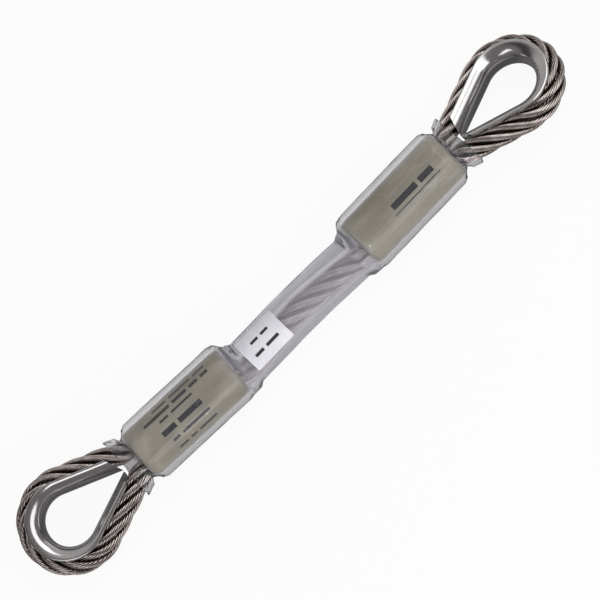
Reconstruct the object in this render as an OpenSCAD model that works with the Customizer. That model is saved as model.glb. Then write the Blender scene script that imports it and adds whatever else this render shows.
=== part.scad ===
// Wire rope sling for climbing: one stainless wire rope with a thimble eye at
// each end, two pressed ferrules and a thick clear sleeve over the middle.
// +X runs along the sling towards eye b, +Z is up, and the origin is midway
// between the eyes. Each end is drawn in a frame of its own, whose x runs
// outwards along its ferrule from the point where the sling flexes.

/* [Rope] */
// Diameter of the wire rope over its six outer strands
rope_d = 7; // [6.5:0.25:7.5]
// Length of rope in which an outer strand goes round once
lay_length = 40; // [36:1:60]
// Share of its diameter that the rope keeps inside a pressed ferrule
pressed_share = 0.8; // [0.76:0.01:0.84]
// Gap between the core strand and the outer strands
core_gap = 0.15; // [0.1:0.05:0.3]

/* [Layout] */
// Distance between the inner faces of the two ferrules
span_length = 47; // [44:1:70]
// How far the middle of the sling lies off the line through its eyes
mid_drop = 2.7; // [0:0.1:5]
// Turn of each eye about the sling's length, in opposite ways
eye_roll = 9; // [0:1:12]
// Angle between the rope and the ferrule's axis where it enters the span
mouth_turn = 7; // [5:0.5:8]
// Radius of the slight bend in the middle of the span
mid_bend_r = 80; // [60:5:120]

/* [Thimbles] */
// Radius of the round end of a thimble's opening
eye_r = 7.3; // [6.6:0.1:8]
// From a ferrule's outer face to the far end of the opening
eye_reach = 32.5; // [30:0.5:38]
// Thickness of the thimble under the rope
thimble_wall = 0.9; // [0.8:0.05:1.2]
// Thickness of the two flanges that hold the rope
flange_wall = 1.1; // [0.8:0.1:1.4]
// Half the height of the flat bearing face in the thimble's throat
throat_half = 0.5; // [0.3:0.1:1.5]
// Height of the flanges above the opening, at the crown
crown_rim = 4.7; // [4.2:0.1:5.4]
// Height of the flanges above the opening, at the sides
side_rim = 3.8; // [3.2:0.1:4]

/* [Ferrules] */
// Length of a ferrule
ferrule_length = 34; // [30:1:40]
// Metal outside the two rope channels
ferrule_wall = 1.35; // [1.2:0.05:2]
// Metal left between the two rope channels
channel_web = 0.3; // [0.2:0.05:0.6]
// Length of the rounded edge at each end
edge_length = 2.2; // [1.5:0.1:3]
// Depth of the rounded edge at each end
edge_depth = 0.9; // [0.6:0.1:0.9]
// How far the rope's dead end stays inside the ferrule's inner face
dead_end_inset = 0.6; // [0.3:0.1:2]

/* [Labels] */
// Distance from the edge of the printed film to the ferrule's face
label_inset = 0.3; // [0.2:0.1:6]
// Thickness of the printed film
label_thick = 0.13; // [0.08:0.01:0.2]
// Gap between the two ends of the film, on the underside
label_seam = 0.8; // [0.4:0.1:1.5]
// Length of the identity tag on the span
tag_length = 13.3; // [9:0.1:15]
// Height of the identity tag, measured round the sleeve
tag_height = 10.4; // [7:0.1:11]
// Thickness of the identity tag
tag_thick = 0.15; // [0.1:0.05:0.3]
// Distance of the tag's middle from the middle of the span, towards eye a
tag_place = 12.2; // [8:0.1:12.6]
// Turn of the tag round the sleeve, from straight up
tag_turn = 14; // [0:1:40]

/* [Sleeve] */
// Wall of the clear sleeve over the ferrules
ferrule_cover = 1.9; // [1.4:0.05:2.4]
// Wall of the clear sleeve round the rope in the span
span_cover = 3.1; // [2.8:0.05:3.4]
// Wall of the clear sleeve where it narrows over the eye's legs
leg_cover = 0.9; // [0.7:0.05:1.2]
// How far the sleeve reaches past a ferrule's outer face
sleeve_reach = 5.5; // [4:0.1:5.6]
// Length of the shoulder between span and ferrule
shoulder_length = 4; // [3.5:0.1:5]

/* [Hidden] */
NUMBERS = [1:6];
ENDS = ["a", "b"];
$fn = 96;

// Clearances
rope_fit = 0.1;      // rope in a thimble's groove, and in the sleeve
channel_fit = 0.05;  // pressed rope in its channel
film_fit = 0.02;     // film on a ferrule
sleeve_fit = 0.05;   // sleeve on a film
tag_fit = 0.1;       // tag on the sleeve
joint_gap = 0.1;     // between a piece of the span and the same piece of an end
tip_gap = 0.3;       // between the two leg tips of a thimble
tip_clear = 0.4;     // from the sleeve's end to a thimble's tip
neck_fit = 0.2;      // sleeve's neck on the ferrule's end
fork_gap = 0.3;      // from a ferrule's outer face to the point where its two ropes spread

// Rope: six outer strands round one core strand
rope_r = rope_d / 2;
strand_share = 0.3;  // a strand's diameter as a share of the rope's
strand_r = rope_r * strand_share;
strand_orbit = rope_r - strand_r;
core_r = strand_orbit - strand_r - core_gap;
strand_sides = 6;
ring_step = 2.5;
press_ramp = 4;      // rope length over which the pressed rope grows to its full size

// Ferrule and its two channels, side by side in the eye's plane
channel_r = rope_r * pressed_share + channel_fit;
channel_y = channel_r + channel_web / 2;
channel_flare = 0.25;
flare_length = 3;
ferrule_r = channel_y + channel_r + ferrule_wall;
ferrule_x0 = span_length / 2;
ferrule_x1 = ferrule_x0 + ferrule_length;

// Eye: the rope leaves its channels, spreads to two straight legs and goes round the crown
crown_x = ferrule_x1 + eye_reach - eye_r;
groove_r = rope_r + rope_fit;
crown_r = eye_r + thimble_wall + groove_r;
fork_x = ferrule_x1 + fork_gap;
fork_bend_r = 16;
fork_dist = norm([crown_x - fork_x, channel_y]);
leg_angle = asin(crown_r / fork_dist) - atan2(channel_y, crown_x - fork_x);
leg_run = sqrt(fork_dist * fork_dist - crown_r * crown_r);
fork_cut = fork_bend_r * tan(leg_angle / 2);
mouth_bend_r = 20;
mouth_shift = mouth_bend_r * (1 - cos(mouth_turn));
channel_run = fork_x - ferrule_x0 - mouth_bend_r * sin(mouth_turn) - fork_cut;
dead_run = fork_x - fork_cut - ferrule_x0 - dead_end_inset;

function arc_run(r, a) = r * a * PI / 180;

// The eye's route in its plane, from the mouth of the live channel to the dead end,
// as pieces of [length, bend], where bend is one over the radius and left is positive
EYE_ROUTE = [
    [arc_run(mouth_bend_r, mouth_turn), -1 / mouth_bend_r],
    [channel_run, 0],
    [arc_run(fork_bend_r, leg_angle), 1 / fork_bend_r],
    [leg_run - fork_cut, 0],
    [arc_run(crown_r, 180 + 2 * leg_angle), -1 / crown_r],
    [leg_run - fork_cut, 0],
    [arc_run(fork_bend_r, leg_angle), 1 / fork_bend_r],
    [dead_run, 0]
];
function total_run(route, i = 0) = i == len(route) ? 0 : route[i][0] + total_run(route, i + 1);
eye_run = total_run(EYE_ROUTE);

// Point at a distance s along a route of arcs and straights
function route_point(route, s, p, h, i = 0) =
    let (
        last = i == len(route) - 1,
        d = last ? s : min(s, route[i][0]),
        k = route[i][1],
        turned = h + k * d * 180 / PI,
        q = k == 0
            ? p + d * [cos(h), sin(h)]
            : p + [sin(turned) - sin(h), cos(h) - cos(turned)] / k
    )
    s <= route[i][0] || last ? q : route_point(route, s - route[i][0], q, turned, i + 1);

// In the eye's plane the live channel is at +y here; the mouth is a little nearer the axis
function eye_point(s) =
    route_point(EYE_ROUTE, s, [ferrule_x0, channel_y - mouth_shift], mouth_turn);

// From an end's own frame to the part's frame: end is 1 for eye b and -1 for eye a
tilt = asin(mid_drop / crown_x);
function end_to_part(end, p) =
    let (
        y = p[1] * cos(eye_roll) + p[2] * sin(eye_roll),
        z = p[2] * cos(eye_roll) - p[1] * sin(eye_roll)
    )
    [end * (p[0] * cos(tilt) - end * y * sin(tilt)), p[0] * sin(tilt) + end * y * cos(tilt) - mid_drop, z];
module end_frame(end) {
    translate([0, -mid_drop, 0])
        rotate([0, 0, end > 0 ? tilt : 180 - tilt])
            rotate([-eye_roll, 0, 0])
                children();
}

// The span: a slight bend in the middle, then straight to each mouth
mouth = end_to_part(1, [ferrule_x0, mouth_shift - channel_y, 0]);
span_slope = mouth_turn - tilt;
bend_x = mid_bend_r * sin(span_slope);
mid_y = mouth[1] + mid_bend_r * (1 - cos(span_slope)) + (mouth[0] - bend_x) * tan(span_slope);
bend_run = arc_run(mid_bend_r, span_slope);
half_run = bend_run + (mouth[0] - bend_x) / cos(span_slope);
function span_point(s) =
    let (
        d = abs(s),
        turn = min(d, bend_run) / mid_bend_r * 180 / PI,
        on = max(0, d - bend_run),
        x = sign(s) * (mid_bend_r * sin(turn) + on * cos(span_slope))
    )
    [x, mid_y - mid_bend_r * (1 - cos(turn)) - on * sin(span_slope), mouth[2] * x / mouth[0]];

// The whole rope, by the distance s from the middle of the span, negative towards eye a
function rope_point(s) =
    abs(s) <= half_run
        ? span_point(s)
        : let (p = eye_point(abs(s) - half_run)) end_to_part(sign(s), [p[0], -sign(s) * p[1], 0]);
function unit(v) = v / norm(v);
function rope_tangent(s) = unit(rope_point(s + 0.05) - rope_point(s - 0.05));
function rope_normal(s) =
    let (
        a = eye_roll * max(-1, min(1, s / half_run)),
        t = rope_tangent(s),
        n = [0, sin(a), cos(a)]
    )
    unit(n - (n * t) * t);

// Share of its full size that the rope has at s: pressed in the ferrules, full elsewhere
function rope_share(s) =
    let (
        e = abs(s) - half_run,
        dead = eye_run - ferrule_length + dead_end_inset,
        free = e < 0 ? -e : max(0, min(e - ferrule_length, dead - e)),
        t = min(1, free / press_ramp)
    )
    pressed_share + (1 - pressed_share) * t * t * (3 - 2 * t);

// One ring of a strand at s, square to the strand's own helix
function strand_ring(s, orbit, r, phase) =
    let (
        t = rope_tangent(s),
        n = rope_normal(s),
        b = cross(t, n),
        a = phase + 360 * s / lay_length,
        share = rope_share(s),
        out = n * cos(a) + b * sin(a),
        round = b * cos(a) - n * sin(a),
        along = unit(t + round * (2 * PI * orbit * share / lay_length)),
        side = cross(along, out),
        middle = rope_point(s) + out * orbit * share
    )
    [for (i = [0:strand_sides - 1])
        let (f = 360 * (i + 0.5) / strand_sides) middle + (out * cos(f) + side * sin(f)) * r * share];

// A closed tube or rod from a list of rings with n points each; inner turns it inside out
function ring_faces(first, n, count, inner) =
    [for (j = [0:count - 2]) for (i = [0:n - 1])
        let (
            a = first + j * n + i,
            b = first + j * n + (i + 1) % n,
            c = a + n,
            d = b + n
        )
        each inner ? [[a, c, b], [b, c, d]] : [[a, b, c], [b, d, c]]];
function cap_faces(first, n, flip) =
    [for (i = [1:n - 2]) flip ? [first, first + i, first + i + 1] : [first, first + i + 1, first + i]];
module rod(rings) {
    n = len(rings[0]);
    count = len(rings);
    polyhedron(
        [for (ring = rings) each ring],
        concat(
            ring_faces(0, n, count, false),
            cap_faces(0, n, false),
            cap_faces((count - 1) * n, n, true)
        )
    );
}
module tube(outer, inner) {
    n = len(outer[0]);
    count = len(outer);
    first_in = n * count;
    function end_faces(a, b, flip) =
        [for (i = [0:n - 1])
            let (j = (i + 1) % n)
            each flip
                ? [[a + i, a + j, b + i], [a + j, b + j, b + i]]
                : [[a + i, b + i, a + j], [a + j, b + i, b + j]]];
    polyhedron(
        concat([for (ring = outer) each ring], [for (ring = inner) each ring]),
        concat(
            ring_faces(0, n, count, false),
            ring_faces(first_in, n, count, true),
            end_faces(0, first_in, false),
            end_faces((count - 1) * n, first_in + (count - 1) * n, true)
        )
    );
}

module strand(from, to, orbit, r, phase) {
    count = ceil((to - from) / ring_step);
    rod([for (i = [0:count]) strand_ring(from + (to - from) * i / count, orbit, r, phase)]);
}
module eye_strand(end, k) {
    near = half_run + joint_gap / 2;
    far = half_run + eye_run;
    color(k % 2 == 0 ? "#8f867c" : "#a59c92")
        strand(end > 0 ? near : -far, end > 0 ? far : -near, strand_orbit, strand_r, 60 * k);
}
module eye_core(end) {
    near = half_run + joint_gap / 2;
    far = half_run + eye_run;
    color("#6f6860")
        strand(end > 0 ? near : -far, end > 0 ? far : -near, 0, core_r, 0);
}
module span_strand(k) {
    to = half_run - joint_gap / 2;
    color(k % 2 == 0 ? "#8f867c" : "#a59c92")
        strand(-to, to, strand_orbit, strand_r, 60 * k);
}
module span_core() {
    to = half_run - joint_gap / 2;
    color("#6f6860") strand(-to, to, 0, core_r, 0);
}

// Thimble: a U-shaped section swept along a drop, its rim cut to a drop of its own and
// its two legs kept apart at the tip
half_width = groove_r + flange_wall;
throat_r = half_width - throat_half;
outline_shift = crown_rim - side_rim;
outline_r = eye_r + side_rim;
leg_tip_x = ferrule_x1 + sleeve_reach + tip_clear;
tip_bevel = 22;
rim_blend = 0.03;    // from the rim's straights to lines that would just touch its arc
throat_steps = 8;
groove_steps = 20;
// Points [distance from the opening's edge, height] round the section
THIMBLE_SECTION = concat(
    [[crown_rim + 1, half_width]],
    [for (i = [0:throat_steps])
        let (a = 90 * i / throat_steps) [throat_r * (1 - sin(a)), half_width - throat_r * (1 - cos(a))]],
    [for (i = [throat_steps:-1:0])
        let (a = 90 * i / throat_steps) [throat_r * (1 - sin(a)), throat_r * (1 - cos(a)) - half_width]],
    [[crown_rim + 1, -half_width], [crown_rim + 1, -groove_r]],
    [for (i = [0:groove_steps])
        let (a = 180 * i / groove_steps)
            [thimble_wall + groove_r - groove_r * sin(a), -groove_r * cos(a)]],
    [[crown_rim + 1, groove_r]]
);
module section() {
    translate([eye_r, 0]) polygon(THIMBLE_SECTION);
}
module thimble_legs() {
    for (s = [0, 1])
        mirror([0, s, 0])
            difference() {
                translate([crown_x, 0, 0])
                    rotate([-90, 0, 90 + leg_angle])
                        linear_extrude(leg_run) section();
                translate([0, -ferrule_length + tip_gap / 2, -half_width - 1])
                    cube([2 * crown_x, ferrule_length, 2 * half_width + 2]);
            }
}
module thimble_outline() {
    // Where the straight rim meets the bevelled tip
    tangent_x = crown_x + outline_shift - (outline_r - rim_blend) * sin(leg_angle);
    tangent_y = (outline_r - rim_blend) * cos(leg_angle);
    slope = tan(leg_angle);
    lean = tan(tip_bevel);
    rim_y = (tangent_y - slope * (tangent_x - leg_tip_x)) / (1 - slope * lean);
    rim_x = leg_tip_x + rim_y * lean;
    translate([crown_x + outline_shift, 0, -half_width - 1])
        cylinder(r = outline_r, h = 2 * half_width + 2);
    translate([0, 0, -half_width - 1])
        linear_extrude(2 * half_width + 2)
            polygon([
                [crown_x + outline_shift, 0], [tangent_x, -tangent_y], [rim_x, -rim_y],
                [leg_tip_x, 0], [rim_x, rim_y], [tangent_x, tangent_y]
            ]);
}
module thimble(end) {
    color("#c9c9cd")
        end_frame(end)
            intersection() {
                union() {
                    translate([crown_x, 0, 0])
                        rotate([0, 0, -90 - leg_angle])
                            rotate_extrude(angle = 180 + 2 * leg_angle) section();
                    thimble_legs();
                }
                union() thimble_outline();
            }
}

edge_knee = [0.35, 0.3];  // shares of the edge's length and depth at its middle point
// Points [distance from the face, radius] of a ferrule's rounded edge
EDGE = [
    [0, ferrule_r - edge_depth],
    [edge_length * edge_knee[0], ferrule_r - edge_depth * edge_knee[1]],
    [edge_length, ferrule_r]
];
module ferrule(end) {
    color("#b9b9b4")
        end_frame(end)
            difference() {
                rotate([0, 90, 0])
                    rotate_extrude()
                        polygon(concat(
                            [[0, ferrule_x0]],
                            [for (p = EDGE) [p[1], ferrule_x0 + p[0]]],
                            [for (i = [len(EDGE) - 1:-1:0]) [EDGE[i][1], ferrule_x1 - EDGE[i][0]]],
                            [[0, ferrule_x1]]
                        ));
                for (s = [-1, 1]) translate([0, s * channel_y, 0]) rotate([0, 90, 0]) {
                    translate([0, 0, ferrule_x0 - 1]) cylinder(r = channel_r, h = ferrule_length + 2);
                    translate([0, 0, ferrule_x0 - 0.01])
                        cylinder(r1 = channel_r + channel_flare, r2 = channel_r, h = flare_length);
                    translate([0, 0, ferrule_x1 - flare_length + 0.01])
                        cylinder(r1 = channel_r, r2 = channel_r + channel_flare, h = flare_length);
                }
            }
}

// The film follows the ferrule over its rounded edges
label_r = ferrule_r + film_fit + label_thick;
FILM_STOPS = concat([label_inset], [for (p = EDGE) if (p[0] > label_inset) p[0]]);
function film_side(off) = concat(
    [for (d = FILM_STOPS) [lookup(d, EDGE) + off, ferrule_x0 + d]],
    [for (i = [len(FILM_STOPS) - 1:-1:0]) [lookup(FILM_STOPS[i], EDGE) + off, ferrule_x1 - FILM_STOPS[i]]]
);
module label(end) {
    inner = film_side(film_fit);
    color("#8c8978")
        end_frame(end)
            difference() {
                rotate([0, 90, 0])
                    rotate_extrude()
                        polygon(concat(
                            film_side(film_fit + label_thick),
                            [for (i = [len(inner) - 1:-1:0]) inner[i]]
                        ));
                translate([ferrule_x0, -label_seam / 2, -label_r - 1])
                    cube([ferrule_length, label_seam, label_r]);
            }
}

// Sleeve: rings of two half circles, r in radius and gap apart each side of the middle.
// The outer rings of the ends are turned back by the eye's roll, so that flats lie level below.
sleeve_sides = 24;
function sleeve_ring(middle, across, up, gap, r, inner, turn = 0) =
    let (reach = inner ? r / cos(180 / sleeve_sides) : r)
    [for (i = [0:sleeve_sides - 1])
        let (
            a = 360 * (i + 0.5) / sleeve_sides + turn,
            side = cos(a) > 0 ? gap : -gap
        )
        middle + across * (side + reach * cos(a)) + up * reach * sin(a)];
span_cover_r = rope_r + rope_fit + span_cover;
rope_bore_r = rope_r + rope_fit;
film_bore_r = label_r + sleeve_fit;
split_x = ferrule_x0 - shoulder_length;
sleeve_x1 = ferrule_x1 + sleeve_reach;
// The rope's distance from the ferrule's axis where the sleeve is split
split_y = channel_y - mouth_shift - shoulder_length * tan(mouth_turn);
// Between the straight legs the rope's edge is this far from the axis at x
function leg_edge(x) = channel_y + max(0, x - fork_x) * tan(leg_angle) + rope_r / cos(leg_angle) + rope_fit;
function leg_gap(x) = leg_edge(x) - rope_bore_r;
neck_bore_r = ferrule_r - edge_depth + neck_fit;
cover_r = film_bore_r + ferrule_cover;
// The sleeve swells half way up the shoulder, is full a little inside the ferrule's face,
// and follows the ferrule's outer edge down to its neck
swell_x = ferrule_x0 - shoulder_length * 0.55;
swell = [0.1, 0.9];
full_x = ferrule_x0 + edge_length;
foot_x = ferrule_x0 + edge_length * 0.2;
foot_drop = 0.35;
edge_x = ferrule_x1 - edge_length * 0.4;
edge_drop = [0.15, 0.6];
neck_x = ferrule_x1 + 0.2;
leg_x = ferrule_x1 + 2.5;
// Each row is [x, shift towards the live side, gap, bore radius, outer radius]
SLEEVE_ROWS = [
    [split_x + joint_gap / 2, split_y, 0, rope_bore_r, span_cover_r],
    [swell_x, split_y * 1.1, 0, rope_bore_r + swell[0], span_cover_r + swell[1]],
    [foot_x, 0, 0, film_bore_r, cover_r - foot_drop],
    [full_x, 0, 0, film_bore_r, cover_r],
    [ferrule_x1 - edge_length, 0, 0, film_bore_r, cover_r],
    [edge_x, 0, 0, film_bore_r - edge_drop[0], cover_r - edge_drop[1]],
    [neck_x, 0, 0, neck_bore_r, neck_bore_r + leg_cover],
    [leg_x, 0, leg_gap(leg_x), rope_bore_r, rope_bore_r + leg_cover],
    [sleeve_x1, 0, leg_gap(sleeve_x1), rope_bore_r, rope_bore_r + leg_cover]
];
module sleeve_end(end) {
    color("#b8bcc8", 0.45)
        end_frame(end)
            tube(
                [for (row = SLEEVE_ROWS)
                    sleeve_ring(
                        [row[0], -end * row[1] / 2, 0], [0, 1, 0], [0, 0, 1], row[2], row[4], false, eye_roll
                    )],
                [for (row = SLEEVE_ROWS)
                    sleeve_ring([row[0], -end * row[1], 0], [0, 1, 0], [0, 0, 1], row[2], row[3], true)]
            );
}
// In the span the sleeve lies midway between the rope and the ferrules' axes
function axis_point(x) = [x, abs(x) * tan(tilt) - mid_drop, 0];
function span_middle(x) =
    let (p = rope_point(x / cos(span_slope))) (p + axis_point(p[0])) / 2;
module sleeve_span() {
    half = split_x * cos(tilt) - joint_gap;
    count = ceil(2 * half / ring_step);
    places = [for (i = [0:count]) half * (2 * i / count - 1)];
    function across(x) = [-sin(tilt * x / half), cos(tilt * x / half), 0];
    function bore_middle(x) = let (p = rope_point(x)) [x, p[1], p[2]];
    color("#b8bcc8", 0.45)
        tube(
            [for (x = places)
                sleeve_ring(span_middle(x), across(x), [0, 0, 1], 0, span_cover_r, false)],
            [for (x = places)
                sleeve_ring(bore_middle(x), across(x), [0, 0, 1], 0, rope_bore_r, true)]
        );
}

module id_tag() {
    from = span_middle(-tag_place - tag_length / 2);
    to = span_middle(-tag_place + tag_length / 2);
    heading = unit(to - from);
    tag_r = span_cover_r + tag_fit;
    tag_angle = tag_height / tag_r * 180 / PI;
    color("#e6e1ea")
        translate(from)
            rotate([0, -asin(heading[2]), atan2(heading[1], heading[0])])
                rotate([tag_turn, 0, 0])
                    rotate([0, 90, 0])
                        rotate([0, 0, 180 - tag_angle / 2])
                            rotate_extrude(angle = tag_angle)
                                translate([tag_r, 0]) square([tag_thick, tag_length]);
}

for (k = NUMBERS) eye_strand(-1, k);
for (k = NUMBERS) eye_strand(1, k);
for (k = NUMBERS) span_strand(k);
eye_core(-1);  // eye_a_core
eye_core(1);  // eye_b_core
span_core();
thimble(-1);  // thimble_a
thimble(1);  // thimble_b
ferrule(-1);  // ferrule_a
ferrule(1);  // ferrule_b
label(-1);  // label_a
label(1);  // label_b
sleeve_end(-1);  // sleeve_a
sleeve_end(1);  // sleeve_b
sleeve_span();
id_tag();
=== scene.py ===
import math

import bpy
import numpy as np
from mathutils import Matrix, Vector, noise


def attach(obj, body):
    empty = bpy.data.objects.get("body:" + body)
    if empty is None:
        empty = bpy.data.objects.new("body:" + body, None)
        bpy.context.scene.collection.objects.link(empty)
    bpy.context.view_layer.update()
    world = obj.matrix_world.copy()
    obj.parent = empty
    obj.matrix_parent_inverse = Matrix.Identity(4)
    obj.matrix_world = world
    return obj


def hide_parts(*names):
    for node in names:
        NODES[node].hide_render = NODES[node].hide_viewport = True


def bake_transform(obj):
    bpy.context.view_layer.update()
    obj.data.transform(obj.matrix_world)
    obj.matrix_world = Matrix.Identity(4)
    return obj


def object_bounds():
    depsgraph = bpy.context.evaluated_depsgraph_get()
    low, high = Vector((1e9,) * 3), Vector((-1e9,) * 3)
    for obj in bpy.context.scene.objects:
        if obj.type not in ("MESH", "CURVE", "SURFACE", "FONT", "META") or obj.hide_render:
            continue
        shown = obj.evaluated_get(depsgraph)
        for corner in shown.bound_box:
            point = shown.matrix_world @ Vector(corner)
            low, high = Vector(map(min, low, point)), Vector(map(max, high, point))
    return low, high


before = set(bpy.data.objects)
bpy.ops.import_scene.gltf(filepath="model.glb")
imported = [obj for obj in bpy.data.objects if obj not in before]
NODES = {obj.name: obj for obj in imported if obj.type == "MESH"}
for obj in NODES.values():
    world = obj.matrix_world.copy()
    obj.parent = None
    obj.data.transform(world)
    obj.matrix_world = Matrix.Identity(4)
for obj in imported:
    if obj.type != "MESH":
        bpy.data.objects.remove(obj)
cad_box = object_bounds()

MM = 0.001

# ---------------------------------------------------------------- sizes, in mm and degrees, as in part.scad
ROPE_R, LAY, PRESSED, CORE_GAP = 3.5, 40.0, 0.8, 0.15
STRAND_R = ROPE_R * 0.3
ORBIT = ROPE_R - STRAND_R
CORE_R = ORBIT - STRAND_R - CORE_GAP
SPAN, DROP, ROLL, MOUTH_TURN, BEND_R = 47.0, 2.7, 9.0, 7.0, 80.0
EYE_R, EYE_REACH, WALL, FLANGE, CROWN_RIM, SIDE_RIM = 7.3, 32.5, 0.9, 1.1, 4.7, 3.8
FERRULE, FERRULE_WALL, WEB, DEAD_INSET = 34.0, 1.35, 0.3, 0.6
LABEL_INSET, LABEL_THICK, SEAM = 0.3, 0.13, 0.8
TAG_LENGTH, TAG_HEIGHT, TAG_THICK, TAG_PLACE, TAG_TURN = 13.3, 10.4, 0.15, 12.2, 14.0
COVER, SPAN_COVER, LEG_COVER, REACH, SHOULDER = 1.9, 3.1, 0.9, 5.5, 4.0
PRESS_RAMP, FORK_BEND, MOUTH_BEND = 4.0, 16.0, 20.0

CHANNEL_R = ROPE_R * PRESSED + 0.05
CHANNEL_Y = CHANNEL_R + WEB / 2
FERRULE_R = CHANNEL_Y + CHANNEL_R + FERRULE_WALL
X0 = SPAN / 2
X1 = X0 + FERRULE
GROOVE_R = ROPE_R + 0.1
CROWN_X = X1 + EYE_REACH - EYE_R
CROWN_R = EYE_R + WALL + GROOVE_R
FORK_X = X1 + 0.3
TO_CROWN = math.hypot(CROWN_X - FORK_X, CHANNEL_Y)
LEG = math.asin(CROWN_R / TO_CROWN) - math.atan2(CHANNEL_Y, CROWN_X - FORK_X)
LEG_RUN = math.sqrt(TO_CROWN**2 - CROWN_R**2)
FORK_CUT = FORK_BEND * math.tan(LEG / 2)
TURN = math.radians(MOUTH_TURN)
MOUTH_SHIFT = MOUTH_BEND * (1 - math.cos(TURN))
TILT = math.asin(DROP / CROWN_X)
LABEL_R = FERRULE_R + 0.02 + LABEL_THICK
SPAN_R = ROPE_R + 0.1 + SPAN_COVER
FILM_R = LABEL_R + 0.05
COVER_R = FILM_R + COVER
SPLIT_X = X0 - SHOULDER
SLEEVE_X1 = X1 + REACH
TIP_X = SLEEVE_X1 + 0.4

# The rope's middle line round an eye: pieces of (length, curvature)
EYE_ROUTE = [
    (MOUTH_BEND * TURN, -1 / MOUTH_BEND),
    (FORK_X - X0 - MOUTH_BEND * math.sin(TURN) - FORK_CUT, 0),
    (FORK_BEND * LEG, 1 / FORK_BEND),
    (LEG_RUN - FORK_CUT, 0),
    (CROWN_R * (math.pi + 2 * LEG), -1 / CROWN_R),
    (LEG_RUN - FORK_CUT, 0),
    (FORK_BEND * LEG, 1 / FORK_BEND),
    (FORK_X - FORK_CUT - X0 - DEAD_INSET, 0),
]
EYE_RUN = sum(piece[0] for piece in EYE_ROUTE)


def smooth(t):
    t = min(1.0, max(0.0, t))
    return t * t * (3 - 2 * t)


def eye_point(s):
    """The rope's place in an eye's plane, s along it from the mouth of the live channel."""
    x, y, h = X0, CHANNEL_Y - MOUTH_SHIFT, TURN
    for i, (run, k) in enumerate(EYE_ROUTE):
        d = s if i == len(EYE_ROUTE) - 1 else min(s, run)
        if k:
            x, y, h = (
                x + (math.sin(h + k * d) - math.sin(h)) / k,
                y + (math.cos(h) - math.cos(h + k * d)) / k,
                h + k * d,
            )
        else:
            x, y = x + d * math.cos(h), y + d * math.sin(h)
        if s <= run:
            break
        s -= run
    return x, y


def end_axes(end):
    """The x, y and z directions of an end's own frame; end is 1 for eye b and -1 for eye a."""
    t, r = TILT, math.radians(ROLL)
    return (
        Vector((end * math.cos(t), math.sin(t), 0)),
        Vector((-math.cos(r) * math.sin(t), end * math.cos(r) * math.cos(t), -math.sin(r))),
        Vector((-math.sin(r) * math.sin(t), end * math.sin(r) * math.cos(t), math.cos(r))),
    )


AXES = {end: end_axes(end) for end in (-1, 1)}


def end_to_part(end, x, y, z=0.0):
    """A point of an end's own frame in the part's frame."""
    ex, ey, ez = AXES[end]
    return ex * x + ey * y + ez * z + Vector((0, -DROP, 0))


MOUTH = end_to_part(1, X0, MOUTH_SHIFT - CHANNEL_Y)
SLOPE = TURN - TILT
BEND_X = BEND_R * math.sin(SLOPE)
MID_Y = MOUTH.y + BEND_R * (1 - math.cos(SLOPE)) + (MOUTH.x - BEND_X) * math.tan(SLOPE)
HALF_RUN = BEND_R * SLOPE + (MOUTH.x - BEND_X) / math.cos(SLOPE)


def rope_point(s):
    """The rope's middle, s along it from the middle of the span."""
    d = abs(s)
    if d > HALF_RUN:
        x, y = eye_point(d - HALF_RUN)
        end = 1 if s > 0 else -1
        return end_to_part(end, x, -end * y)
    turn = min(d, BEND_R * SLOPE) / BEND_R
    on = max(0.0, d - BEND_R * SLOPE)
    x = math.copysign(BEND_R * math.sin(turn) + on * math.cos(SLOPE), s)
    y = MID_Y - BEND_R * (1 - math.cos(turn)) - on * math.sin(SLOPE)
    return Vector((x, y, MOUTH.z * x / MOUTH.x))


def rope_share(s):
    """How much of its free diameter the rope has at s: less where a ferrule holds it."""
    e = abs(s) - HALF_RUN
    free = -e if e < 0 else max(0.0, min(e - FERRULE, EYE_RUN - FERRULE + DEAD_INSET - e))
    return PRESSED + (1 - PRESSED) * smooth(free / PRESS_RAMP)


def rope_stations():
    """Places along the whole rope: close together where it shows, wide apart in the ferrules."""
    far = HALF_RUN + EYE_RUN
    fine, coarse, from_mouth, from_fork = 0.7, 3.4, 2, 4
    s, out = 0.0, [0.0]
    while s < far:
        e = s - HALF_RUN
        hidden = from_mouth < e < FERRULE - from_fork or e > EYE_RUN - FERRULE + from_fork
        s = min(far, s + (coarse if hidden else fine))
        out.append(s)
    return [-v for v in out[:0:-1]] + out


# ---------------------------------------------------------------- meshes
def mesh_piece(name, verts, faces, mats, smooth_faces=True, sharp=None):
    """A new object from points in mm."""
    mesh = bpy.data.meshes.new(name)
    mesh.from_pydata(np.asarray(verts, dtype=float) * MM, [], faces)
    mesh.polygons.foreach_set("use_smooth", [smooth_faces] * len(mesh.polygons))
    for mat in mats:
        mesh.materials.append(mat)
    if sharp is not None:
        mesh.set_sharp_from_angle(angle=math.radians(sharp))
    obj = bpy.data.objects.new(name, mesh)
    bpy.context.scene.collection.objects.link(obj)
    return obj


def grid_faces(first, rows, cols, closed=True, flip=False):
    """Quads between rows of cols points each."""
    faces = []
    for j in range(rows - 1):
        for i in range(cols if closed else cols - 1):
            a = first + j * cols + i
            b = first + j * cols + (i + 1) % cols
            quad = (a, b, b + cols, a + cols)
            faces.append(quad[::-1] if flip else quad)
    return faces


def tube_faces(first, rows, cols):
    """A tube of rows rings with cols points each, closed at both ends."""
    last = first + (rows - 1) * cols
    start_cap = tuple(range(first, first + cols))[::-1]
    return grid_faces(first, rows, cols) + [start_cap, tuple(range(last, last + cols))]


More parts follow.
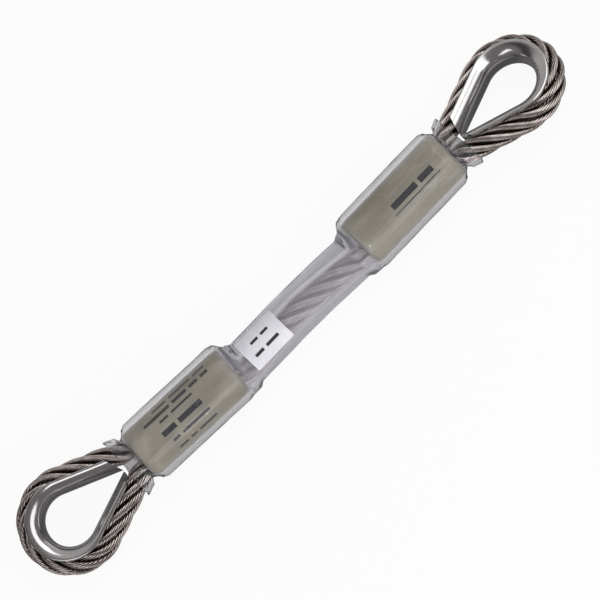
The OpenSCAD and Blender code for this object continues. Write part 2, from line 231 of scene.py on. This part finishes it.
def sheet_faces(rows, cols, flip=False):
    """A thin sheet from two open grids of points, one after the other, joined round their edge."""
    second = rows * cols
    faces = grid_faces(0, rows, cols, closed=False, flip=flip)
    faces += grid_faces(second, rows, cols, closed=False, flip=not flip)
    loop = (
        list(range(cols))
        + [j * cols + cols - 1 for j in range(1, rows)]
        + [(rows - 1) * cols + i for i in range(cols - 2, -1, -1)]
        + [j * cols for j in range(rows - 2, 0, -1)]
    )
    for a, b in zip(loop, loop[1:] + loop[:1]):
        quad = (a + second, b + second, b, a)
        faces.append(quad[::-1] if flip else quad)
    return faces


# ---------------------------------------------------------------- rope
STATIONS = np.array(rope_stations())
CENTRE = np.array([rope_point(s) for s in STATIONS])
TANGENT = np.array([(rope_point(s + 0.05) - rope_point(s - 0.05)).normalized() for s in STATIONS])
roll = np.radians(ROLL) * np.clip(STATIONS / HALF_RUN, -1, 1)
NORMAL = np.stack([np.zeros_like(roll), np.sin(roll), np.cos(roll)], axis=1)
NORMAL -= TANGENT * np.sum(NORMAL * TANGENT, axis=1)[:, None]
NORMAL /= np.linalg.norm(NORMAL, axis=1)[:, None]
BINORMAL = np.cross(TANGENT, NORMAL)
SHARE = np.array([rope_share(s) for s in STATIONS])[:, None]


def unit(v):
    return v / np.linalg.norm(v, axis=1)[:, None]


def wire_tube(path, radial, radius, sides):
    """Rings of a wire round its path; radial says where its first point lies."""
    along = unit(np.gradient(path, axis=0))
    e1 = unit(radial - along * np.sum(radial * along, axis=1)[:, None])
    e2 = np.cross(along, e1)
    angles = 2 * np.pi * (np.arange(sides) + 0.5) / sides
    ring = e1[:, None, :] * np.cos(angles)[None, :, None] + e2[:, None, :] * np.sin(angles)[None, :, None]
    return path[:, None, :] + ring * radius[:, :, None]


# A strand sits a little inside its CAD rod, and grooves show between its wires
SEATED, SLIM, WIRE_SHARE = 0.97, 0.91, 0.92
WIRES, WIRE_SIDES, HEART_SIDES, HEART_INSET = 9, 6, 8, 1.9
WIRE_LAY, CORE_WIRE_LAY = 9.6, 18.0


def strand_mesh(name, phase, orbit, radius, wire_lay, mats):
    """One strand: outer wires round a plain heart, laid against the strands so that they run
    nearly straight along the rope. Its attribute "shown" is 1 on open metal and falls to 0 in
    the grooves between wires and between strands; the material paints shade in by it."""
    angle = np.radians(phase) + 2 * np.pi * STATIONS[:, None] / LAY
    out = NORMAL * np.cos(angle) + BINORMAL * np.sin(angle)
    about = BINORMAL * np.cos(angle) - NORMAL * np.sin(angle)
    along = unit(TANGENT + about * (2 * np.pi * orbit / LAY) * SHARE)
    side = np.cross(along, out)
    middle = CENTRE + out * (orbit * SEATED) * SHARE
    radius *= SLIM
    wire_r = radius * math.sin(math.pi / WIRES) / (1 + math.sin(math.pi / WIRES))
    facing = 0.5 + 0.5 * np.cos(2 * np.pi * (np.arange(WIRE_SIDES) + 0.5) / WIRE_SIDES)
    verts, faces, shown, first = [], [], [], 0
    for j in range(WIRES):
        f = 2 * np.pi * j / WIRES - 2 * np.pi * STATIONS[:, None] / wire_lay
        radial = out * np.cos(f) + side * np.sin(f)
        path = middle + radial * (radius - wire_r) * SHARE
        verts.append(wire_tube(path, radial, wire_r * WIRE_SHARE * SHARE, WIRE_SIDES).reshape(-1, 3))
        # painted shade: a wire darkens on its side towards the strand's middle, and wires that face into
        # the rope darken too
        shown.append((facing * np.clip((np.cos(f) + 0.45) / 0.85, 0.0, 1.0)).ravel())
        faces += tube_faces(first, len(STATIONS), WIRE_SIDES)
        first += len(STATIONS) * WIRE_SIDES
    keep = np.arange(0, len(STATIONS), 2)
    if keep[-1] != len(STATIONS) - 1:
        keep = np.append(keep, len(STATIONS) - 1)
    heart_r = (radius - HEART_INSET * wire_r) * SHARE[keep]
    verts.append(wire_tube(middle[keep], out[keep], heart_r, HEART_SIDES).reshape(-1, 3))
    # painted shade: the heart takes the full groove shade
    shown.append(np.zeros(len(keep) * HEART_SIDES))
    faces += tube_faces(first, len(keep), HEART_SIDES)
    obj = mesh_piece(name, np.concatenate(verts), faces, mats)
    layer = obj.data.attributes.new("shown", "FLOAT", "POINT")
    layer.data.foreach_set("value", np.concatenate(shown))
    return obj


# ---------------------------------------------------------------- materials
class Tree:
    """A short way to write the nodes of a material or a world."""

    def __init__(self, owner):
        owner.use_nodes = True
        self.nodes = owner.node_tree.nodes
        self.links = owner.node_tree.links

    def add(self, kind, inputs=(), **settings):
        node = self.nodes.new(kind)
        for key, value in settings.items():
            setattr(node, key, value)
        for key, value in dict(inputs).items():
            self.put(node.inputs[key], value)
        return node

    def put(self, socket, value):
        if isinstance(value, bpy.types.NodeSocket):
            self.links.new(value, socket)
        else:
            socket.default_value = value

    def coords(self):
        return self.add("ShaderNodeTexCoord").outputs["Object"]

    def scaled(self, scale, coords=None):
        node = self.add("ShaderNodeMapping", {"Vector": coords or self.coords()})
        node.inputs["Scale"].default_value = scale
        return node.outputs["Vector"]

    def noise(self, scale, detail=3.0, rough=0.5, vector=None):
        vector = vector or self.coords()
        inputs = {"Vector": vector, "Scale": scale, "Detail": detail, "Roughness": rough}
        return self.add("ShaderNodeTexNoise", inputs).outputs["Fac"]

    def ramp(self, value, stops):
        node = self.add("ShaderNodeValToRGB", {"Fac": value})
        ramp = node.color_ramp
        while len(ramp.elements) < len(stops):
            ramp.elements.new(0.5)
        for element, (place, colour) in zip(ramp.elements, stops):
            element.position = place
            element.color = (*colour, 1)
        return node.outputs["Color"]

    def range(self, value, low, high, to_low, to_high, **settings):
        inputs = {"Value": value, "From Min": low, "From Max": high, "To Min": to_low, "To Max": to_high}
        return self.add("ShaderNodeMapRange", inputs, **settings).outputs["Result"]

    def math(self, operation, a, b=0.0, c=0.0):
        return self.add("ShaderNodeMath", {0: a, 1: b, 2: c}, operation=operation).outputs[0]

    def split(self, vector):
        return self.add("ShaderNodeSeparateXYZ", {0: vector}).outputs

    def mix(self, share, first, second):
        node = self.add("ShaderNodeMix", {0: share}, data_type="RGBA")
        for socket, value in ((node.inputs[6], first), (node.inputs[7], second)):
            self.put(socket, (*value, 1) if isinstance(value, tuple) else value)
        return node.outputs[2]

    def mix_shaders(self, share, first, second):
        return self.add("ShaderNodeMixShader", {0: share, 1: first, 2: second}).outputs[0]

    def bump(self, height, strength, distance=0.0001):
        node = self.add("ShaderNodeBump", {"Height": height, "Strength": strength, "Distance": distance})
        return node.outputs["Normal"]


class Material(Tree):
    """A new material's nodes, round its Principled shader."""

    def __init__(self, name):
        self.mat = bpy.data.materials.new(name)
        super().__init__(self.mat)
        self.shader = self.nodes["Principled BSDF"]

    def set(self, **values):
        for key, value in values.items():
            self.put(self.shader.inputs[key.replace("_", " ")], value)
        return self.mat


def rope_steel():
    """Drawn stainless wires: warm grey, darker and lighter in patches, with painted shade in the grooves.
    """
    t = Material("rope_steel_wires")
    patches = t.noise(420, 3)
    fine = t.noise(2600, 2)
    tones = [(0.32, (0.62, 0.54, 0.51)), (0.52, (0.82, 0.74, 0.70)), (0.72, (0.98, 0.91, 0.86))]
    # painted shade: a near-black colour laid in where the wires meet and where the strands meet
    groove_shade = (0.09, 0.07, 0.06)
    shown = t.add("ShaderNodeAttribute", attribute_name="shown").outputs["Fac"]
    return t.set(
        Base_Color=t.mix(t.range(shown, 0.45, 0.85, 0.0, 1.0), groove_shade, t.ramp(patches, tones)),
        Metallic=1.0,
        Roughness=t.range(fine, 0.3, 0.7, 0.10, 0.18),
        Normal=t.bump(fine, 0.05, 0.00002),
    )


def thimble_steel():
    """Polished stainless with a faint draw of the press and small handling marks."""
    t = Material("thimble_polished")
    soft = t.noise(130, 2)
    marks = t.noise(900, 3, 0.6)
    colour = t.ramp(soft, [(0.3, (0.62, 0.61, 0.61)), (0.7, (0.72, 0.71, 0.70))])
    return t.set(
        Base_Color=colour,
        Metallic=1.0,
        Roughness=t.range(marks, 0.3, 0.7, 0.13, 0.2),
        Normal=t.bump(soft, 0.1, 0.0003),
    )


def ferrule_metal():
    """Pressed aluminium, with fine marks drawn along it."""
    t = Material("ferrule_aluminium_pressed")
    marks = t.noise(900, 4, 0.6, t.scaled((0.3, 1, 1)))
    return t.set(
        Base_Color=t.ramp(marks, [(0.3, (0.50, 0.50, 0.50)), (0.7, (0.64, 0.64, 0.63))]),
        Metallic=1.0,
        Roughness=t.range(marks, 0.3, 0.7, 0.32, 0.48),
        Normal=t.bump(marks, 0.3, 0.0001),
    )


# ---------------------------------------------------------------- thimble
HALF_WIDTH = GROOVE_R + FLANGE
THROAT_HALF = 0.5
THROAT_R = HALF_WIDTH - THROAT_HALF
# The rolled edge of a flange at the crown: (distance from the opening's edge, height)
ROLLED_EDGE = [(4.25, 4.69), (4.48, 4.62), (4.64, 4.48), (4.7, 4.25)]
KNEE = 1.9
TIP_LEAN = math.tan(math.radians(22))
TIP_GAP = 0.15


def rim_height(phi):
    """How far the flange stands above the opening's edge, phi round the crown's middle."""
    shift, r = CROWN_RIM - SIDE_RIM, EYE_R + SIDE_RIM
    return shift * math.cos(phi) + math.sqrt(r * r - (shift * math.sin(phi)) ** 2) - EYE_R


def flange_profile():
    """From the middle of the throat to the rim: (distance from the opening's edge, height)."""
    points = [(0.0, 0.0), (0.0, THROAT_HALF * 0.6)]
    steps = 25
    for i in range(steps):
        a = math.radians(90 * i / steps)
        points.append((THROAT_R * (1 - math.cos(a)), THROAT_HALF + THROAT_R * math.sin(a)))
    return points + ROLLED_EDGE


FLANGE_PROFILE = flange_profile()


def thimble_section(h):
    """The closed section where the rim stands h above the opening's edge. Beyond the knee the
    flange is drawn in with the rim."""
    stretch = (h - KNEE) / (CROWN_RIM - KNEE)
    front = [(d if d < KNEE else KNEE + (d - KNEE) * stretch, z) for d, z in FLANGE_PROFILE]
    middle = WALL + GROOVE_R
    open_at = math.acos(max(-1.0, min(1.0, (middle - (h - 0.08)) / GROOVE_R)))
    groove = []
    for i in range(17):
        a = open_at * (1 - i / 8)
        groove.append((middle - GROOVE_R * math.cos(a), GROOVE_R * math.sin(a)))
    return front + groove + [(d, -z) for d, z in front[:0:-1]]


def thimble_mesh(name, end, mats):
    """The channel round the crown, with a straight leg at each side that ends at the tip."""
    steps = 72
    top = math.pi / 2 + LEG

    def leg_row(side, share):
        """A section on a leg: share is 0 where the crown starts and 1 at the tip."""
        row = []
        for d, z in thimble_section(rim_height(top)):
            x, y = CROWN_X + (EYE_R + d) * math.cos(top), (EYE_R + d) * math.sin(top)
            run = (x - TIP_X - TIP_LEAN * y) / (math.cos(LEG) - TIP_LEAN * math.sin(LEG))
            x, y = x - share * run * math.cos(LEG), y - share * run * math.sin(LEG)
            row.append((x, side * max(TIP_GAP, y), z))
        return row

    shares = [1, 0.9, 0.75, 0.6, 0.45, 0.3, 0.15]
    rows = [leg_row(-1, share) for share in shares]
    for i in range(steps + 1):
        phi = -top + 2 * top * i / steps
        rows.append([
            (CROWN_X + (EYE_R + d) * math.cos(phi), (EYE_R + d) * math.sin(phi), z)
            for d, z in thimble_section(rim_height(phi))
        ])
    rows += [leg_row(1, share) for share in shares[::-1]]
    verts = [end_to_part(end, *point) for row in rows for point in row]
    return mesh_piece(name, verts, tube_faces(0, len(rows), len(rows[0])), mats, sharp=50)


# ---------------------------------------------------------------- label films
# The ferrule's rounded edge: (distance from its end, radius)
EDGE_RUN, EDGE_DROP = 2.2, 0.9
EDGE = [(0.0, FERRULE_R - EDGE_DROP), (0.77, FERRULE_R - 0.27), (EDGE_RUN, FERRULE_R)]
# Where round each ferrule the middle of its print lies
PRINT_ANGLE = {1: math.radians(122), -1: math.radians(76)}


def edge_radius(d):
    """The ferrule's radius at a distance d from its nearer end."""
    for (d0, r0), (d1, r1) in zip(EDGE, EDGE[1:]):
        if d <= d1:
            return r0 + (r1 - r0) * (d - d0) / (d1 - d0)
    return FERRULE_R


def add_map(obj, name, places):
    """A flat map in mm over the piece, which its print is laid out on."""
    layer = obj.data.uv_layers.new(name=name)
    for loop in obj.data.loops:
        layer.data[loop.index].uv = places[loop.vertex_index]


def bars(tree, rows, space=1.1):
    """A mask of printed bars: a row is (its middle's u and v, its bars' lengths, their height)."""
    flat = tree.split(tree.add("ShaderNodeUVMap", uv_map="print").outputs["UV"])
    total = 0.0
    for middle, at_v, lengths, height in rows:
        across = tree.math("COMPARE", flat[1], at_v, height / 2)
        at_u = middle - (sum(lengths) + space * (len(lengths) - 1)) / 2
        for length in lengths:
            mask = tree.math("COMPARE", flat[0], at_u + length / 2, length / 2)
            total = tree.math("MAXIMUM", total, tree.math("MULTIPLY", mask, across))
            at_u += length + space
    return total


# The print on the films is left off: plain bars stand in its place
LABEL_ROWS = {
    -1: [
        (2.5, -6.6, [5.0, 7.5, 4.0], 0.6),
        (0.5, -4.7, [9.0, 5.0, 3.0, 2.5], 0.9),
        (-1.0, -2.8, [3.0, 7.5], 0.6),
        (-1.5, 0.2, [4.6, 8.0], 1.5),
        (-0.8, 3.1, [2.4, 9.5], 0.8),
        (-0.6, 5.9, [3.0, 2.0, 6.0], 0.7),
    ],
    1: [(3.6, -0.4, [9.0, 5.0], 1.7), (3.6, 1.6, [17.0], 0.35)],
}


def film_material(end):
    """The olive film: tone in soft streaks along it, faint folds, specks of air, and its bars."""
    t = Material(f"label_film_olive_{'a' if end < 0 else 'b'}")
    tone = t.noise(150, 4, 0.6, t.scaled((0.25, 1.0, 1.0)))
    fine = t.noise(1500, 3)
    folds = t.noise(95, 2, 0.5, t.scaled((0.45, 1.0, 1.0)))
    tones = [(0.25, (0.18, 0.16, 0.115)), (0.5, (0.27, 0.245, 0.19)), (0.75, (0.38, 0.355, 0.29))]
    printed = t.mix(bars(t, LABEL_ROWS[end]), t.ramp(tone, tones), (0.02, 0.02, 0.022))
    from_fold = t.math("ABSOLUTE", t.math("SUBTRACT", folds, 0.58))
    cells = t.add("ShaderNodeTexVoronoi", {"Vector": t.coords(), "Scale": 260.0}).outputs["Distance"]
    speck = t.math("MULTIPLY", t.range(cells, 0.05, 0.09, 0.7, 0.0), t.range(tone, 0.5, 0.56, 0.0, 1.0))
    air = t.math("MAXIMUM", t.range(from_fold, 0.0, 0.02, 0.08, 0.0), speck)
    return t.set(
        Base_Color=t.mix(air, printed, (0.78, 0.77, 0.74)),
        Specular_IOR_Level=0.15,
        Roughness=t.range(fine, 0.3, 0.7, 0.34, 0.5),
        Normal=t.bump(folds, 0.35, 0.0006),
    )


def label_mesh(name, end, mats):
    """The film round a ferrule and over its rounded edges, with its two ends a seam apart
    underneath."""
    across, clear, ripple_depth = 120, 0.02, 0.035
    gap = SEAM / 2 / LABEL_R
    near = [LABEL_INSET, 0.5, 0.77, 1.1, 1.6, EDGE_RUN]
    middle = [EDGE_RUN + (FERRULE - 2 * EDGE_RUN) * i / 30 for i in range(1, 30)]
    places = near + middle + [FERRULE - d for d in near[::-1]]
    verts, flat = [], []
    for depth in (0.85, 0.25):
        for d in places:
            base = edge_radius(min(d, FERRULE - d))
            for i in range(across + 1):
                a = -math.pi / 2 + gap + (2 * math.pi - 2 * gap) * i / across
                x = X0 + d
                wave = noise.noise(Vector((x * 0.16, math.cos(a) * 3, math.sin(a) * 3 + end * 7)))
                r = base + clear + LABEL_THICK * depth + min(0.0, ripple_depth * wave - 0.005)
                verts.append(end_to_part(end, x, r * math.cos(a), r * math.sin(a)))
                flat.append((end * (d - FERRULE / 2), end * LABEL_R * (a - PRINT_ANGLE[end])))
    obj = mesh_piece(name, verts, sheet_faces(len(places), across + 1), mats, sharp=50)
    add_map(obj, "print", flat)
    return obj


# ---------------------------------------------------------------- sleeve
def leg_gap(x):
    """Half the distance between the middles of the sleeve's two sides where the rope's legs part."""
    edge = CHANNEL_Y + max(0.0, x - FORK_X) * math.tan(LEG) + ROPE_R / math.cos(LEG) + 0.1
    return edge - (ROPE_R + 0.1)


def frame_axes(roll_a, tilt_a):
    """The directions across the sling and up, where it is rolled and tilted by these angles."""
    c, s = math.cos(roll_a), math.sin(roll_a)
    return (
        Vector((-c * math.sin(tilt_a), c * math.cos(tilt_a), -s)),
        Vector((-s * math.sin(tilt_a), s * math.cos(tilt_a), c)),
    )


SPLIT_Y = CHANNEL_Y - MOUTH_SHIFT - SHOULDER * math.tan(TURN)
NECK_R = FERRULE_R - EDGE_DROP + 0.2
BORE_R, LIP_R = ROPE_R + 0.1, ROPE_R + 0.1 + LEG_COVER
# x, shift towards the live side, gap, bore radius, outer radius, how far the middle is drawn in
SLEEVE_KEYS = [
    (SPLIT_X + 0.05, SPLIT_Y, 0, BORE_R, SPAN_R, 0),
    (X0 - 2.2, SPLIT_Y * 1.1, 0, ROPE_R + 0.2, SPAN_R + 0.9, 0),
    (X0 + 0.44, 0, 0, FILM_R, COVER_R - 0.35, 0),
    (X0 + 2.2, 0, 0, FILM_R, COVER_R - 0.02, 0),
    (X1 - 2.2, 0, 0, FILM_R, COVER_R - 0.02, 0),
    (X1 - 0.88, 0, 0, FILM_R - 0.15, COVER_R - 0.6, 0),
    (X1 + 0.2, 0, 0, NECK_R, NECK_R + LEG_COVER, 0),
    (X1 + 1.4, 0, 2.0, ROPE_R + 1.1, LIP_R + 0.3, 0.1),
    (X1 + 2.5, 0, leg_gap(X1 + 2.5), BORE_R, LIP_R, 0.3),
    (SLEEVE_X1, 0, leg_gap(SLEEVE_X1), BORE_R, BORE_R + LEG_COVER * 0.8, 0.35),
]
SLEEVE_SIDES = 96


def key_row(x):
    """The sleeve's sizes at x, between its keys."""
    for a, b in zip(SLEEVE_KEYS, SLEEVE_KEYS[1:]):
        if x <= b[0]:
            t = smooth((x - a[0]) / (b[0] - a[0]))
            return [p + (q - p) * t for p, q in zip(a[1:], b[1:])]
    return list(SLEEVE_KEYS[-1][1:])


def sleeve_section(middle, across, up, gap, r, draw):
    """A ring, pulled apart by gap to each side, with the plastic between drawn in."""
    ring = []
    for i in range(SLEEVE_SIDES):
        a = 2 * math.pi * (i + 0.5) / SLEEVE_SIDES
        c, s = math.cos(a), math.sin(a)
        side = gap * max(-1.0, min(1.0, c * 3))
        pull = 1 - draw * (1 - smooth(abs(c) * 1.6))
        ring.append(middle + across * (side + r * c) + up * (r * s * pull))
    return ring


def torn(end, a):
    """How far the sleeve's end stands back at angle a round it."""
    wave = noise.noise(Vector((math.cos(a) * 1.7, math.sin(a) * 1.7, 3.1 * end + 9)))
    fine = noise.noise(Vector((math.cos(a) * 6, math.sin(a) * 6, 1.7 * end + 4)))
    return max(0.0, 0.5 + 0.8 * wave + 0.15 * fine)


def span_middle(x):
    """The middle of the sleeve's outer face in the span, between the rope and the ferrules' line."""
    p = rope_point(x / math.cos(SLOPE))
    return (p + Vector((p.x, abs(p.x) * math.tan(TILT) - DROP, 0))) / 2


def uneven(p, middle):
    """Shrunk plastic is never quite even: the outer face dips a little, and never stands out."""
    wide = noise.noise(Vector((p.x * 0.09, p.y * 0.14, p.z * 0.14)))
    small = noise.noise(Vector((p.x * 0.35, p.y * 0.3, p.z * 0.3 + 5)))
    return p + (middle - p).normalized() * (0.09 * (1 + wide) + 0.03 * (1 + small))


def sleeve_end_rows(end):
    """The outer and inner rings over one ferrule and its eye's legs, from the span outwards."""
    rows, steps, start = [], 84, SPLIT_X + 0.05
    across, up = frame_axes(end * math.radians(ROLL), end * TILT)
    for n in range(steps + 1):
        x = start + (SLEEVE_X1 - start) * n / steps
        shift, gap, bore, out, draw = key_row(x)
        near_end = smooth((x - X1) / (SLEEVE_X1 - X1))
        pair = []
        for r, shift_share, draw_share in ((out, 0.5, 1), (bore, 1, 0.8)):
            middle = end_to_part(end, x, -end * shift * shift_share)
            ring = sleeve_section(middle, across, up, gap, r, draw * draw_share)
            for i, p in enumerate(ring):
                a = 2 * math.pi * (i + 0.5) / SLEEVE_SIDES
                ring[i] = p - AXES[end][0] * torn(end, a) * near_end * near_end
            pair.append(ring)
        rows.append(pair)
    return rows


def sleeve_span_rows():
    """The outer and inner rings between the ferrules, from a to b."""
    rows, steps = [], 40
    half = SPLIT_X * math.cos(TILT) - 0.1
    for i in range(1, steps):
        x = half * (2 * i / steps - 1)
        across, up = frame_axes(math.radians(ROLL) * x / half, TILT * x / half)
        rows.append((
            sleeve_section(span_middle(x), across, up, 0, SPAN_R, 0),
            sleeve_section(rope_point(x / math.cos(SLOPE)), across, up, 0, BORE_R, 0),
        ))
    return rows


def sleeve_mesh(name, mats):
    """One clear tube over both ferrules and the span: an outer face, a bore and two torn ends."""
    pairs = sleeve_end_rows(-1)[::-1] + sleeve_span_rows() + sleeve_end_rows(1)
    verts = []
    for ring, _ in pairs:
        middle = sum(ring, Vector()) / len(ring)
        verts += [uneven(p, middle) for p in ring]
    verts += [p for _, ring in pairs for p in ring]
    rows, cols = len(pairs), SLEEVE_SIDES
    second = rows * cols
    faces = grid_faces(0, rows, cols) + grid_faces(second, rows, cols, flip=True)
    for first, flip in ((0, True), ((rows - 1) * cols, False)):
        for i in range(cols):
            a, b = first + i, first + (i + 1) % cols
            quad = (a, b, b + second, a + second)
            faces.append(quad[::-1] if flip else quad)
    return mesh_piece(name, verts, faces, mats)


def sleeve_plastic():
    """Clear plastic, milky in the span."""
    t = Material("sleeve_clear_plastic")
    haze = t.noise(220, 4, 0.6)
    fine = t.noise(900, 3)
    along = t.math("ABSOLUTE", t.split(t.coords())[0])
    span = t.range(along, (X0 - 1.5) * MM, (X0 + 1) * MM, 1.0, 0.0)
    milk = t.math("MULTIPLY", span, t.range(haze, 0.3, 0.7, 0.85, 1.0))
    return t.set(
        Base_Color=t.ramp(milk, [(0.0, (0.93, 0.93, 0.95)), (1.0, (0.80, 0.785, 0.835))]),
        Transmission_Weight=t.range(milk, 0.0, 1.0, 0.98, 0.84),
        IOR=1.34,
        Roughness=t.range(haze, 0.3, 0.7, 0.0, 0.012),
        Normal=t.bump(fine, 0.03, 0.0002),
    )


# ---------------------------------------------------------------- id tag
TAG_CORNER, TAG_CLEAR = 0.35, 0.1
TAG_ROWS = [(6.6, 3.6, [2.6, 2.6], 0.8), (6.4, 6.9, [3.0, 4.4], 0.9)]


def round_corner(x, h):
    """Pulls a point of the tag near a corner onto the corner's arc."""
    cx = min(max(x, TAG_CORNER), TAG_LENGTH - TAG_CORNER)
    ch = min(max(h, TAG_CORNER), TAG_HEIGHT - TAG_CORNER)
    dx, dh = x - cx, h - ch
    length = math.hypot(dx, dh)
    if length == 0:
        return x, h
    far = max(abs(dx), abs(dh))
    return cx + dx * far / length, ch + dh * far / length


def tag_mesh(name, mats):
    """The white tag, bent round the sleeve, with rounded corners and edges that lie close."""
    start = span_middle(-TAG_PLACE - TAG_LENGTH / 2)
    along = (span_middle(-TAG_PLACE + TAG_LENGTH / 2) - start).normalized()
    across = Vector((0, 0, 1)).cross(along).normalized()
    up = along.cross(across)
    r0 = SPAN_R + TAG_CLEAR
    cols, rows = 25, 33
    verts, flat = [], []
    for under in (False, True):
        for j in range(rows):
            for i in range(cols):
                x, h = round_corner(TAG_LENGTH * i / (cols - 1), TAG_HEIGHT * j / (rows - 1))
                # Straight up is angle 0, turned towards -y by the tag's turn
                f = (h / TAG_HEIGHT - 0.5) * TAG_HEIGHT / r0 + math.radians(TAG_TURN)
                lift = 0.02 * (1 + noise.noise(Vector((x * 0.5, h * 0.5, 2))))
                r = r0 if under else r0 + TAG_THICK - 0.045 + lift
                verts.append(start + along * x - across * (math.sin(f) * r) + up * (math.cos(f) * r))
                flat.append((x, h))
    obj = mesh_piece(name, verts, sheet_faces(rows, cols, flip=True), mats, sharp=50)
    add_map(obj, "print", flat)
    return obj


def tag_material():
    """White film with its bars."""
    t = Material("tag_film_white")
    tone = t.noise(200, 3)
    fine = t.noise(1500, 3)
    colour = t.ramp(tone, [(0.3, (0.72, 0.70, 0.755)), (0.7, (0.80, 0.785, 0.83))])
    return t.set(
        Base_Color=t.mix(bars(t, TAG_ROWS), colour, (0.03, 0.03, 0.035)),
        Roughness=t.range(fine, 0.3, 0.7, 0.35, 0.5),
        Normal=t.bump(fine, 0.1, 0.0001),
    )


# ---------------------------------------------------------------- build
wire_mat, polished = rope_steel(), thimble_steel()

for k in range(1, 7):
    strand = strand_mesh(f"rope_strand_{k}", 60 * k, ORBIT, STRAND_R, WIRE_LAY, [wire_mat])
    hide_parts(f"eye_a_strand_{k}", f"span_strand_{k}", f"eye_b_strand_{k}")
    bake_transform(strand)
core = strand_mesh("rope_core", 0, 0.0, CORE_R, CORE_WIRE_LAY, [wire_mat])
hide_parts("eye_a_core", "span_core", "eye_b_core")
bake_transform(core)

aluminium = ferrule_metal()
for end, letter in ((-1, "a"), (1, "b")):
    body = f"end_{letter}"
    thimble = thimble_mesh(f"thimble_{letter}_polished", end, [polished])
    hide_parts(f"thimble_{letter}")
    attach(thimble, body)
    label = label_mesh(f"label_film_{letter}", end, [film_material(end)])
    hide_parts(f"label_{letter}")
    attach(label, body)
    for slot in NODES[f"ferrule_{letter}"].material_slots:
        slot.material = aluminium

sleeve = sleeve_mesh("sleeve_clear", [sleeve_plastic()])
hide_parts("sleeve_a", "sleeve_span", "sleeve_b")
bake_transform(sleeve)

tag = tag_mesh("id_tag_film", [tag_material()])
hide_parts("id_tag")
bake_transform(tag)

# ---------------------------------------------------------------- stage, light and camera
scene = bpy.context.scene
scene.view_settings.view_transform = "Standard"

scene.world = bpy.data.worlds.new("studio")
w = Tree(scene.world)
w.nodes.clear()
path = w.add("ShaderNodeLightPath").outputs
toward = w.split(w.add("ShaderNodeTexCoord").outputs["Generated"])


def room_step(value, low, high, first, second):
    return w.mix(w.range(value, low, high, 0.0, 1.0, interpolation_type="SMOOTHSTEP"), first, second)


def background(colour, strength):
    return w.add("ShaderNodeBackground", {"Color": colour, "Strength": strength}).outputs[0]


# What polished metal mirrors beside the two lamps: a dim room, lighter at the back right
WHITE = (1, 1, 1, 1)
DIM, DARK, PALE = (0.17, 0.16, 0.165), (0.055, 0.05, 0.05), (0.42, 0.41, 0.41)
behind = room_step(toward[0], -0.3, 0.05, DARK, PALE)
high_up = room_step(toward[1], 0.5, 0.75, behind, PALE)
room = room_step(toward[1], 0.1, 0.3, DIM, high_up)
lit = w.mix_shaders(path["Is Glossy Ray"], background(WHITE, 0.44), background(room, 1.0))
# Seen straight through the plastic the room is white, but what the rope mirrors under it is not
direct = w.math("LESS_THAN", path["Glossy Depth"], 0.5)
through = w.math("MULTIPLY", path["Is Transmission Ray"], direct)
seen = w.math("MAXIMUM", path["Is Camera Ray"], through)
w.add("ShaderNodeOutputWorld", {"Surface": w.mix_shaders(seen, lit, background(WHITE, 1.0))})

FLOOR_HALF = 900
low = cad_box[0][2] / MM
corners = [(-1, -1), (1, -1), (1, 1), (-1, 1)]
floor = mesh_piece(
    "floor",
    [(x * FLOOR_HALF, y * FLOOR_HALF, low) for x, y in corners],
    [(0, 1, 2, 3)],
    [],
    smooth_faces=False,
)
f = Material("floor_white")
f.set(Base_Color=(0.86, 0.86, 0.86, 1), Roughness=0.9)
path = f.add("ShaderNodeLightPath").outputs
seen = f.math("MAXIMUM", path["Is Camera Ray"], path["Is Transmission Ray"])
glow = f.add("ShaderNodeEmission", {"Color": WHITE, "Strength": 1.0}).outputs[0]
lit = f.mix_shaders(f.math("MULTIPLY", seen, 0.92), f.shader.outputs[0], glow)
# Painted shadow: the floor the metal mirrors is a glowing sheet, darker close under the sling than
# further off. Through the plastic some of that painted shade shows too
aside = f.math("ABSOLUTE", f.split(f.coords())[1])
shade = f.add(
    "ShaderNodeEmission", {"Color": (1, 0.97, 0.97, 1), "Strength": f.range(aside, 0.003, 0.03, 0.1, 0.45)}
).outputs[0]
through = f.math("MULTIPLY", path["Is Transmission Ray"], 0.35)
mirrored = f.math("MAXIMUM", f.math("SUBTRACT", path["Is Glossy Ray"], through), 0.0)
f.put(f.nodes["Material Output"].inputs["Surface"], f.mix_shaders(mirrored, lit, shade))
floor.data.materials.append(f.mat)


def lamp(name, size, place, glow, turn=0):
    """A soft box of this size, as bright as glow says. It faces down, or turned up towards +y."""
    data = bpy.data.lights.new(name, "AREA")
    data.shape = "RECTANGLE"
    data.size, data.size_y = size
    data.energy = glow * math.pi * size[0] * size[1]
    obj = bpy.data.objects.new(name, data)
    obj.location = place
    obj.rotation_euler = (math.radians(turn), 0, 0)
    obj.visible_camera = False
    scene.collection.objects.link(obj)
    return obj


lamp("lamp_right", (0.423, 1.15), (0.3385, -0.275, 0.48), 1.35)
lamp("lamp_left", (0.16, 0.32), (-0.24, -0.22, 0.27), 1.35)
lamp("fill_front", (0.6, 0.25), (0, -0.5, 0.16), 2.4, turn=75).visible_glossy = False

elevation, turn = math.radians(23), math.radians(44.57)
look = Vector((0, -math.sin(elevation), math.cos(elevation)))
e_y = Vector((0, math.cos(elevation), math.sin(elevation)))
e_x = Vector((1, 0, 0))
right = e_x * math.cos(turn) - e_y * math.sin(turn)
up = e_x * math.sin(turn) + e_y * math.cos(turn)
aim = Vector((2.1, -1.2, 0)) * MM
lens = bpy.data.cameras.new("camera")
lens.type = "PERSP"
lens.lens = 200
lens.sensor_width = 36
lens.clip_start = 0.01
camera = bpy.data.objects.new("camera", lens)
DISTANCE = 0.8905
place = aim + look * DISTANCE
camera.matrix_world = Matrix((
    (right.x, up.x, look.x, place.x),
    (right.y, up.y, look.y, place.y),
    (right.z, up.z, look.z, place.z),
    (0, 0, 0, 1),
))
scene.collection.objects.link(camera)
scene.camera = camera
